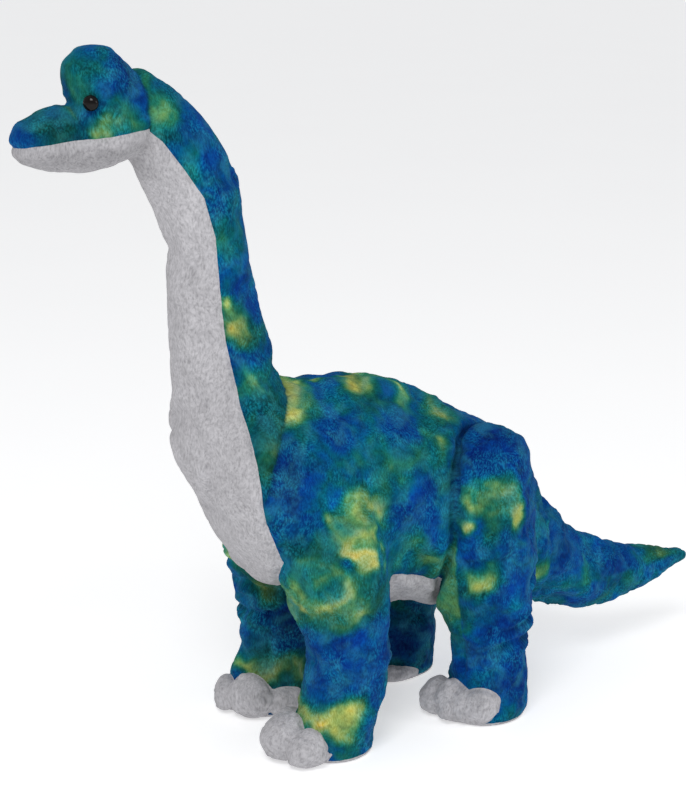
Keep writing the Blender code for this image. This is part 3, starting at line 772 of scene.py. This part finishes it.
# Blotches seen from the left: the panel, how far along the dye, radius, places (x, z). Where one
# of the dark ones lies, the cloth is darker too.
DARK = 0.5
BLOTCH_STRENGTH = 0.92
BLOTCHES = (
    ("body", 0.02, 13, (
        (-90, 172), (-98, 158), (-10, 155), (-55, 188), (-8, 194), (-100, 110), (160, 62),
        (118, 84))),
    ("nape", 0.02, 13, ((-117, 332), (-112, 240))),
    ("thigh", 0.03, 10, (
        (24, 170), (22, 160), (35, 176), (46, 178), (58, 172), (27, 163), (62, 160), (66, 140),
        (68, 110), (62, 48), (45, 36))),
    ("hood", 0.03, 6.5, (
        (-172, 398), (-166, 392), (-177, 387), (-182, 383), (-163, 388), (-159, 381), (-170, 391))),
    ("body", 0.14, 14, (
        (-64, 208), (-13, 160), (-38, 88), (-70, 76), (-50, 61), (5, 125), (-62, 50), (170, 52),
        (130, 75), (25, 195), (-45, 75))),
    ("nape", 0.14, 12, ((-101, 269), (-124, 367), (-115, 350), (-108, 324))),
    ("thigh", 0.14, 12, (
        (26, 111), (46, 112), (36, 80), (60, 74), (45, 60), (30, 45), (62, 22), (40, 20))),
    ("snout", 0.1, 7, ((-213, 373), (-206, 376), (-226, 364), (-223, 370), (-218, 366))),
    ("hood", 0.3, 7, ((-182, 407), (-161, 372))),
    ("snout", 0.34, 6, ((-194, 371), (-196, 364))),
    ("body", 0.44, 13, ((-76, 192), (-30, 180), (-55, 168), (10, 140), (135, 62), (10, 175))),
    ("thigh", 0.46, 9, ((32, 130), (42, 140), (30, 95))),
    ("hood", 0.46, 8, (
        (-192, 397), (-195, 389), (-191, 382), (-185, 395), (-170, 378), (-176, 374))),
    ("nape", 0.5, 14, ((-98, 204), (-94, 190), (-88, 208), (-100, 176))),
    ("body", 0.5, 11, (
        (0, 107), (-48, 103), (-40, 98), (-77, 127), (-74, 93), (14, 161), (205, 60))),
    ("nape", 0.5, 11, ((-106, 252), (-113, 311))),
    ("snout", 0.5, 7.5, ((-211, 366), (-204, 369), (-205, 363), (-199, 362))),
    ("body", 0.66, 11, (
        (-45, 151), (-52, 148), (-78, 112), (-70, 108), (-62, 140), (-38, 156), (-20, 168),
        (5, 178), (-7, 117), (114, 56), (143, 50), (-62, 25), (-50, 140), (12, 105))),
    ("nape", 0.66, 10, ((-107, 253), (-101, 226), (-96, 182), (-107, 297))),
    ("thigh", 0.66, 8, ((34, 155), (43, 149), (37, 143), (28, 148), (30, 100))),
    ("inner", 0.66, 18, ((18, 110), (22, 95), (24, 80), (28, 70))),
    ("inner", 0.2, 12, ((34, 44), (36, 30), (45, 55))),
    ("hood", 0.64, 6, ((-164, 366), (-171, 368), (-180, 369))),
    ("nape", 0.6, 8, ((-150, 381), (-143, 374), (-134, 355), (-147, 366))),
    ("body", 0.8, 9, (
        (-84, 106), (-61, 95), (-81, 90), (-70, 22), (-60, 30), (216, 64), (-37, 146), (95, 80),
        (-82, 205), (-66, 214), (-17, 212), (0, 205), (22, 192))),
    ("thigh", 0.8, 7, ((51, 131), (21, 143), (27, 96))),
    ("hood", 0.84, 5, ((-186, 365), (-180, 364))),
    ("nape", 0.8, 5, ((-147, 376), (-154, 391))),
    ("snout", 0.84, 3.5, ((-196, 379), (-194, 377))),
    ("body", 0.96, 7, (
        (-84, 211), (-76, 216), (-64, 18), (-73, 27), (-57, 31), (-50, 217), (-30, 215))),
    ("nape", 0.96, 6, ((-117, 271), (-113, 258))),
    ("body", 0.88, 5, ((-69, 145), (-40, 127), (-40, 116), (-50, 133), (-63, 139), (-72, 107))),
    ("body", 0.98, 5, ((-57, 126), (-59, 133), (-55, 119), (-76, 99), (-63, 129))),
    ("thigh", 0.9, 4, ((52, 133), (20, 140))),
    ("thigh", 1.06, 4.5, ((18, 131),)),
    ("body", 1.04, 4, ((-53, 117), (-58, 124))),
)


def to_linear(colour):
    value = np.asarray(colour, float) / 255.0
    return np.where(value < 0.04045, value / 12.92, ((value + 0.055) / 1.055) ** 2.4)


def grey_tone_and_painted_shade(q, normals):
    """Painted shade for the plain grey cloth, as how much of its lightness it keeps: less where it
    faces down under the jaw and at the chin, and under the belly, with a little random tone.
    """
    x, _, z = q.T
    down = -normals[:, 2]
    under = smooth_step(down, -0.3, 0.6) * smooth_step(z, 325.0, 345.0)
    under *= smooth_step(-x, 140.0, 160.0)
    belly = smooth_step(down, 0.2, 0.9) * smooth_step(-z, -130.0, -110.0)
    return 1.0 - 0.26 * under - 0.15 * belly + 0.05 * Noise(48)(q, 9.0, 2)


def dye_and_painted_shade(q, normals, fields):
    """The printed cloth's colour at each point, linear, with painted shade along some seams and on
    the legs' inner sides.
    """
    x, y, z = q.T
    thigh, inner = np.zeros(len(q)), np.zeros(len(q))
    for word, side in SIDES:
        whole = smooth_step(fields[f"hind_{word}_whole"], -0.6, 0.6) * (side * y > 0)
        whole = np.maximum(whole, (side * y > 0) * (x > 5.0) * smooth_step(-z, -62.0, -58.0))
        outer = smooth_step(fields[f"hind_{word}_outer"], -0.6, 0.6)
        thigh += whole * outer
        inner += whole * (1.0 - outer)
    head = smooth_step(fields["head"], -0.6, 0.6)
    snout = head * smooth_step(fields["snout"], -0.6, 0.6)
    nape = (1.0 - thigh - inner) * (1.0 - head) * smooth_step(fields["neck_back"], -0.6, 0.6)
    cut_from = {"thigh": thigh, "inner": inner, "nape": nape, "snout": snout, "hood": head - snout,
                "body": 1.0 - thigh - inner - nape - head}
    swirl = Noise(41)
    offset = np.stack([swirl(q + 50.0 * i, 22.0, 3) for i in range(3)], 1)
    loose = q + (4.0 - 1.8 * smooth_step(z, 335.0, 360.0))[:, None] * offset
    heat = 0.31 + 0.12 * Noise(42)(loose + 70.0 * (thigh + 2.0 * nape)[:, None], 28.0, 4, 0.6)
    # How much darker the colour is: random print tone, dark blotches and veins, and painted shade
    # along seams and on the legs' inner sides.
    print_tone_and_shade = 0.16 * Noise(43)(loose + 40.0, 13.0, 3, 0.6) - 0.05
    for panel, tone, radius, places in BLOTCHES:
        for i, (sx, sz) in enumerate(places):
            # The far side has its own print.
            shift = np.where(y > 0, 7.0 * math.sin(3.1 * i + 1.0), 0.0)
            away = np.hypot(loose[:, 0] - sx - shift, loose[:, 2] - sz + shift)
            weight = BLOTCH_STRENGTH * bell(away, radius) * cut_from[panel]
            heat += weight * (tone - heat)
            if tone == DARK:
                print_tone_and_shade -= 0.35 * weight
    heat += 0.11 * Noise(44)(loose, 11.0, 2, 0.5) + 0.03 * Noise(45)(q, 3.5, 2)
    stops, colours = zip(*DYE)
    colours = to_linear(colours)
    base = np.stack([np.interp(heat, stops, colours[:, k]) for k in range(3)], 1)
    veins = 1.0 - np.abs(Noise(46)(loose, 13.0, 3, 0.55))
    print_tone_and_shade -= 0.30 * smooth_step(veins, 0.78, 1.0)
    # Painted shade: the colour is darker along these seams, where the pile parts.
    seam = (1.0 - thigh - inner) * (z > 150.0) * bell(fields["neck_back"], 1.4) * (x > -118.0)
    for word, side in SIDES:
        there = (side * y > 0) * (x > 5.0) * (z > 60.0)
        seam += bell(fields[f"hind_{word}_whole"], 1.4) * there
    seam += head * (fields["jaw"] < 0.0) * (z < BROW) * bell(fields["snout"], 1.2)
    seam += 0.7 * (z > 345.0) * bell(fields["head"], 1.2)
    print_tone_and_shade -= 0.50 * np.minimum(seam, 1.0)
    # Painted shade on the legs' inner sides, below the body and towards the middle.
    inner_side_shade = smooth_step(-z, -118.0, -84.0) * smooth_step(-np.sign(y) * normals[:, 1], -0.1, 0.6)
    print_tone_and_shade -= 0.55 * inner_side_shade * smooth_step(-np.abs(y), -60.0, -20.0)
    bright = np.exp(1.15 * print_tone_and_shade)[:, None]
    pale = np.clip(0.16 * Noise(47)(loose, 9.0, 3) + 0.02, 0.0, 0.22)[:, None]
    return np.clip(base * bright * (1.0 - pale) + pale * np.array((0.05, 0.36, 0.42)), 0.0, 1.0)


# ==== materials


class Nodes:
    """A material's node tree, with short calls for adding and joining nodes."""

    def __init__(self, name):
        self.material = bpy.data.materials.new(name)
        self.material.use_nodes = True
        self.tree = self.material.node_tree
        self.tree.nodes.clear()
        self.shader = self.add("ShaderNodeBsdfPrincipled")
        output = self.add("ShaderNodeOutputMaterial")
        self.tree.links.new(self.shader.outputs[0], output.inputs["Surface"])

    def add(self, kind, values=(), **settings):
        node = self.tree.nodes.new(kind)
        for key, value in settings.items():
            setattr(node, key, value)
        for key, value in dict(values).items():
            self.put(node.inputs[key], value)
        return node

    def put(self, socket, value):
        if isinstance(value, bpy.types.NodeSocket):
            self.tree.links.new(value, socket)
        else:
            socket.default_value = value

    def put_all(self, **values):
        """Sets the shader's own sockets; a name's spaces are written as underscores."""
        for key, value in values.items():
            self.put(self.shader.inputs[key.replace("_", " ")], value)

    def stored(self, name, output="Color"):
        return self.add("ShaderNodeAttribute", attribute_name=name).outputs[output]

    def grain(self, scale, detail):
        return self.noise(self.add("ShaderNodeTexCoord").outputs["Object"], scale, detail)

    def grey(self, value):
        return self.add("ShaderNodeCombineColor", {0: value, 1: value, 2: value}).outputs[0]

    def bump(self, height, strength, distance):
        return self.add("ShaderNodeBump", {"Height": height, "Strength": strength,
                                           "Distance": distance}).outputs[0]

    def math(self, operation, a, b=0.0, c=0.0):
        return self.add("ShaderNodeMath", {0: a, 1: b, 2: c}, operation=operation).outputs[0]

    def noise(self, vector, scale, detail=2.0, rough=0.5):
        node = self.add("ShaderNodeTexNoise", {"Vector": vector, "Scale": scale, "Detail": detail,
                                               "Roughness": rough})
        return node.outputs["Fac"]

    def ramp(self, value, low, high, to_low=0.0, to_high=1.0):
        node = self.add("ShaderNodeMapRange", {0: value, 1: low, 2: high, 3: to_low, 4: to_high},
                        interpolation_type="SMOOTHSTEP")
        return node.outputs[0]

    def mix(self, share, a, b, blend="MIX"):
        node = self.add("ShaderNodeMix", data_type="RGBA", blend_type=blend)
        for socket, value in zip((node.inputs[0], node.inputs[6], node.inputs[7]), (share, a, b)):
            self.put(socket, value)
        return node.outputs[2]

    def vector(self, operation, a, b):
        return self.add("ShaderNodeVectorMath", {0: a, 1: b}, operation=operation).outputs[0]

    def warped(self, vector, scale, strength):
        """The vector, pushed about by a slow noise."""
        push = self.add("ShaderNodeTexNoise", {"Vector": vector, "Scale": scale, "Detail": 1.0})
        centred = self.vector("SUBTRACT", push.outputs["Color"], (0.5, 0.5, 0.5))
        scaled = self.vector("MULTIPLY", centred, (strength,) * 3)
        return self.vector("ADD", vector, scaled)


# The pile lies down the toy: its strands are long in z.
PILE_LIES = (0.9, 1.0, 0.42)


def plush(name, colour_of, pile, sheen, sheen_tint):
    """Short-pile cloth. colour_of gives its colour, pile its tufts' size as a noise scale."""
    nodes = Nodes(name)
    rest = nodes.warped(nodes.stored("rest", "Vector"), 45.0, 0.010)
    strands = nodes.noise(nodes.vector("MULTIPLY", rest, PILE_LIES), pile, 3.0, 0.62)
    tufts = nodes.noise(rest, pile * 0.42, 3.0, 0.6)
    height = nodes.math("MULTIPLY_ADD", strands, 0.55, nodes.math("MULTIPLY", tufts, 0.45))
    nodes.put_all(Base_Color=colour_of(nodes, strands, tufts),
                  Normal=nodes.bump(height, 0.55, 0.0009),
                  Roughness=nodes.ramp(tufts, 0.2, 0.8, 0.95, 0.78), Specular_IOR_Level=0.06,
                  Sheen_Weight=sheen, Sheen_Roughness=0.45, Sheen_Tint=sheen_tint)
    return nodes.material


def print_plush():
    def colour_of(nodes, strands, tufts):
        # The stored colour is the print with painted shade along seams and on the legs' inner
        # sides.
        dye = nodes.stored("dye")
        tips = nodes.math("MULTIPLY", nodes.ramp(strands, 0.42, 0.66), 0.5)
        light = nodes.mix(tips, dye, (0.01, 0.26, 0.32, 1.0), "SCREEN")
        patches = nodes.noise(nodes.stored("rest", "Vector"), 60.0, 3.0)
        faded = nodes.mix(nodes.ramp(patches, 0.42, 0.62, 0.12, 0.75), dye, light)
        deep = nodes.ramp(strands, 0.30, 0.62, 0.70, 1.02)
        return nodes.mix(1.0, faded, nodes.grey(deep), "MULTIPLY")

    return plush("print_plush", colour_of, 1150.0, 0.07, (0.15, 0.75, 0.95, 1.0))


def grey_plush():
    def colour_of(nodes, strands, tufts):
        base = nodes.mix(nodes.ramp(tufts, 0.3, 0.7), (0.40, 0.392, 0.41, 1.0),
                         (0.50, 0.49, 0.51, 1.0))
        deep = nodes.ramp(strands, 0.25, 0.6, 0.70, 1.06)
        # Painted shade: the grey is darker where it faces down under the jaw and the belly.
        deep = nodes.math("MULTIPLY", deep, nodes.stored("dim", "Fac"))
        return nodes.mix(1.0, base, nodes.grey(deep), "MULTIPLY")

    return plush("grey_plush", colour_of, 1000.0, 0.12, (1.0, 0.98, 1.0, 1.0))


def black_gloss():
    nodes = Nodes("black_gloss")
    speck = nodes.grain(900.0, 2.0)
    colour = nodes.mix(nodes.ramp(speck, 0.4, 0.8), (0.004, 0.003, 0.003, 1.0),
                       (0.010, 0.007, 0.006, 1.0))
    nodes.put_all(Base_Color=colour, Roughness=nodes.ramp(speck, 0.3, 0.8, 0.05, 0.09),
                  Specular_IOR_Level=0.16, Coat_Weight=0.04, Coat_Roughness=0.03)
    return nodes.material


def moulded_white():
    nodes = Nodes("moulded_white")
    grain = nodes.grain(1400.0, 3.0)
    colour = nodes.mix(grain, (0.62, 0.61, 0.58, 1.0), (0.75, 0.74, 0.71, 1.0))
    nodes.put_all(Base_Color=colour, Normal=nodes.bump(grain, 0.1, 0.0002),
                  Roughness=nodes.ramp(grain, 0.3, 0.7, 0.42, 0.55))
    return nodes.material


# ==== pieces

CLOTH_THICK = 1.5
LEAST_AREA = 1e-7
# The panels cut from the grey cloth, and the CAD nodes that a panel stands for besides its own.
GREY = ("sole", "toe_cap", "jaw_panel", "throat_panel", "chest_belly_panel")
STANDS_FOR = {
    "body_left_panel": ("body_stuffing",), "neck_back_panel": ("neck_stuffing",),
    "hood_panel": ("head_stuffing",), "tail_left_panel": ("tail_stuffing",),
    "hind_left_thigh_panel": ("hind_left_thigh_stuffing",),
    "hind_right_thigh_panel": ("hind_right_thigh_stuffing",),
}


def add_object(name, data):
    made = bpy.data.objects.new(name, data)
    bpy.context.scene.collection.objects.link(made)
    return made


def make_piece(name, skin, triangles, material):
    """One panel as a closed shell of cloth, with its rest position, its print colour with painted
    shade, and the grey cloth's painted shade stored on it.
    """
    used, corners = np.unique(triangles, return_inverse=True)
    corners = corners.reshape(-1, 3)
    count = len(used)
    points, normals = skin.get("p")[used], skin.get("n")[used]
    a, b, c = (points[corners[:, i]] for i in range(3))
    corners = corners[np.linalg.norm(np.cross(b - a, c - a), axis=1) > LEAST_AREA]
    inner = points - CLOTH_THICK * normals
    pairs = np.concatenate([corners[:, [i, (i + 1) % 3]] for i in range(3)])
    key, back = pairs[:, 0] * count + pairs[:, 1], pairs[:, 1] * count + pairs[:, 0]
    rim = pairs[~np.isin(key, back)]
    a, b = rim.T
    rims = np.concatenate((np.stack((b, a, a + count), 1), np.stack((b, a + count, b + count), 1)))
    faces = np.concatenate((corners, corners[:, ::-1] + count, rims))
    both = np.concatenate((points, inner)) * MM
    mesh = bpy.data.meshes.new(name)
    mesh.vertices.add(len(both))
    mesh.vertices.foreach_set("co", both.astype(np.float32).ravel())
    mesh.loops.add(faces.size)
    mesh.loops.foreach_set("vertex_index", faces.astype(np.int32).ravel())
    mesh.polygons.add(len(faces))
    mesh.polygons.foreach_set("loop_start", np.arange(0, faces.size, 3, dtype=np.int32))
    mesh.polygons.foreach_set("use_smooth", np.ones(len(faces), bool))
    mesh.update(calc_edges=True)
    colour = np.concatenate((skin.get("dye")[used], np.ones((count, 1))), 1)
    for key, kind, part, values in (("rest", "FLOAT_VECTOR", "vector", skin.get("q")[used] * MM),
                                    ("dye", "FLOAT_COLOR", "color", colour),
                                    ("dim", "FLOAT", "value", skin.get("dim")[used])):
        stored = mesh.attributes.new(key, kind, "POINT")
        stored.data.foreach_set(part, np.tile(values, (2, 1)).astype(np.float32).ravel())
    flat = np.cross(both[faces[:, 1]] - both[faces[:, 0]], both[faces[:, 2]] - both[faces[:, 0]])
    flat /= np.maximum(np.linalg.norm(flat, axis=1), 1e-15)[:, None]
    shading = np.concatenate((normals, -normals))[faces]
    shading[2 * len(corners):] = flat[2 * len(corners):, None]
    mesh.normals_split_custom_set(shading.reshape(-1, 3).tolist())
    mesh.materials.append(material)
    return add_object(f"soft_{name}", mesh)


def place(x, y, z):
    return (x * MM, y * MM, z * MM)


def attach(name, piece):
    """Makes a panel follow its body, or leaves it on no body, fixed where it was made."""
    parts = name.split("_")
    if name in ("neck_back_panel", "throat_panel"):
        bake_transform(piece)
    elif name in ("hood_panel", "jaw_panel"):
        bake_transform(piece)
    elif name == "snout_panel":
        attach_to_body(piece, "head")
    elif name.startswith("tail"):
        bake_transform(piece)
    elif name.endswith(("outer_panel", "inner_panel")):
        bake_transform(piece)
    elif name.endswith(("sole", "toe_cap")):
        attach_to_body(piece, f"{parts[0]}_{parts[1]}_leg")
    else:
        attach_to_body(piece, "torso")


def cad_name(name):
    """The CAD node that a panel stands for."""
    for end in ("sole", "toe_cap"):
        if name.endswith(end):
            return name.replace(f"_{end}", f"_leg_{end}")
    return name


def make_eye(word, side, material):
    """A domed safety eye on its shank, turned round its own axis."""
    profile = [(0.0, 3.3)]
    profile += [(EYE_RADIUS * math.sin(math.radians(a)), 0.3 + 3.0 * math.cos(math.radians(a)))
                for a in range(6, 91, 6)]
    profile += [(4.15, -0.2), (3.9, -0.6), (1.9, -0.9), (1.5, -1.4), (1.5, -11.5), (1.1, -12.2),
                (0.0, -12.4)]
    mesh = bpy.data.meshes.new(f"{word}_eye")
    around = 48
    points = [(0.0, profile[0][1], 0.0)]
    for radius, out in profile[1:-1]:
        for i in range(around):
            angle = 2.0 * math.pi * i / around
            points.append((radius * math.cos(angle), out, radius * math.sin(angle)))
    points.append((0.0, profile[-1][1], 0.0))
    last, rows = len(points) - 1, len(profile) - 2
    faces = [(0, 1 + (i + 1) % around, 1 + i) for i in range(around)]
    for row in range(rows - 1):
        for i in range(around):
            a, b = 1 + row * around + i, 1 + row * around + (i + 1) % around
            faces.append((a, b, b + around, a + around))
    first = 1 + (rows - 1) * around
    faces += [(last, first + i, first + (i + 1) % around) for i in range(around)]
    x, y, z = EYE
    if side > 0:
        x, y = x + FAR_EYE_SUNK[0], y - FAR_EYE_SUNK[1]
    spot = np.array(points)
    cos, sin = math.cos(EYE_TURN), math.sin(EYE_TURN)
    turned = np.stack((spot[:, 0] * cos - spot[:, 1] * sin, spot[:, 0] * sin + spot[:, 1] * cos,
                       spot[:, 2]), 1)
    turned[:, 1] *= side
    world = (turned + np.array((x, side * y, z))) * MM
    if side < 0:
        faces = [face[::-1] for face in faces]
    mesh.from_pydata(world.tolist(), [], faces)
    mesh.shade_smooth()
    mesh.materials.append(material)
    eye = add_object(f"{word}_glossy_eye", mesh)
    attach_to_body(eye, "head")
    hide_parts(f"{word}_eye")


FINE_STEP, QUICK_STEP = 1.15, 1.7


def make_toy():
    """Makes the whole surface, cuts it into panels, hangs some on their bodies and leaves the rest
    fixed where they were made.
    """
    grid = Grid(FINE_STEP)
    field = toy_field(grid)
    q, quads = surface(grid, field)
    edges = edges_of(quads)
    q = smoothed(q, edges, 3)
    q[:, 2] = np.where(q[:, 2] < 0.3, 0.0, q[:, 2])
    triangles = np.concatenate((quads[:, :3], quads[:, [0, 2, 3]]))
    base = smoothed(normals_of(q, triangles), edges, 2)
    base /= np.linalg.norm(base, axis=1)[:, None]
    fields = seam_fields(q)
    height = relief(q, base, fields)
    height += puffed(grid, field, q, edges) * smooth_step(q[:, 2], 1.0, 8.0)
    points = q + base * height[:, None]
    points[:, 2] = np.maximum(points[:, 2], 0.0)
    # The print colour carries painted shade along seams and on the legs' inner sides; the grey
    # cloth's painted shade is stored beside it.
    columns = {"p": points, "q": q, "n": normals_of(points, triangles),
               "dye": dye_and_painted_shade(q, base, fields), "dim": grey_tone_and_painted_shade(q, base)}
    skin = Skin(columns | fields, triangles)
    panels = cut_panels(skin)
    looks = {"print": print_plush(), "grey": grey_plush()}
    for name, part in panels.items():
        slot = "grey" if name.endswith(GREY) else "print"
        piece = make_piece(name, skin, part, looks[slot])
        attach(name, piece)
        node = cad_name(name)
        inside = STANDS_FOR.get(name, ())
        if name.endswith("leg_outer_panel"):
            inside = (node.replace("outer_panel", "stuffing"),)
        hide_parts(node, *inside)


# ==== the stage

CAMERA_TARGET = Vector((-0.034, -0.006, 0.2))
CAMERA_WAY = (-29.0, 15.0)
CAMERA_DISTANCE = 1.05
CAMERA_FIELD = 25.0
FLOOR_REACH = 30.0


def set_stage():
    scene = bpy.context.scene
    scene.view_settings.view_transform = "Standard"
    azimuth, elevation = (math.radians(a) for a in CAMERA_WAY)
    level = math.cos(elevation)
    back = Vector((math.sin(azimuth) * level, -math.cos(azimuth) * level, math.sin(elevation)))
    camera = add_object("camera", bpy.data.cameras.new("camera"))
    camera.data.angle = math.radians(CAMERA_FIELD)
    camera.location = CAMERA_TARGET + CAMERA_DISTANCE * back
    camera.rotation_euler = (-back).to_track_quat("-Z", "Y").to_euler()
    scene.camera = camera
    world = bpy.data.worlds.new("studio")
    world.use_nodes = True
    sky = world.node_tree.nodes["Background"].inputs
    sky["Color"].default_value = (0.97, 0.98, 1.0, 1.0)
    sky["Strength"].default_value = 0.47
    scene.world = world
    softbox("key", Vector((-0.9, -1.0, 1.5)), 0.7, 14.0)
    softbox("fill", Vector((0.9, -1.3, 0.8)), 0.6, 4.0)

    floor = bpy.data.meshes.new("floor")
    floor.from_pydata([(FLOOR_REACH * x, FLOOR_REACH * y, 0) for x, y in
                       ((-1, -1), (1, -1), (1, 1), (-1, 1))], [], [(0, 1, 2, 3)])
    nodes = Nodes("pale_floor")
    colour = nodes.mix(nodes.grain(3.0, 2.0), (0.88, 0.88, 0.885, 1.0), (0.91, 0.91, 0.91, 1.0))
    nodes.put_all(Base_Color=colour, Roughness=0.9, Emission_Color=(1.0, 1.0, 1.0, 1.0),
                  Emission_Strength=0.42)
    floor.materials.append(nodes.material)
    add_object("floor", floor)


def softbox(name, location, size, power):
    light = bpy.data.lights.new(name, "AREA")
    light.size, light.energy = size, power
    lamp = add_object(name, light)
    lamp.location = location
    lamp.rotation_euler = (CAMERA_TARGET - location).to_track_quat("-Z", "Y").to_euler()


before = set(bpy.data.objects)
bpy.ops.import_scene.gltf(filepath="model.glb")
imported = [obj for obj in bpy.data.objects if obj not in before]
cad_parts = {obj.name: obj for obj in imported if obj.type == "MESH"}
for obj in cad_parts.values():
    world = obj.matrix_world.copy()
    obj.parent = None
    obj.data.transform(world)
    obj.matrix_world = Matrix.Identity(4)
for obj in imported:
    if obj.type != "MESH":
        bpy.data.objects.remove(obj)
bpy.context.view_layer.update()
set_stage()
make_toy()
eye_black = black_gloss()
for word, side in SIDES:
    make_eye(word, side, eye_black)
washer_look = moulded_white()
for word, _ in SIDES:
    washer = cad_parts[f"{word}_eye_washer"]
    washer.data.materials.clear()
    washer.data.materials.append(washer_look)
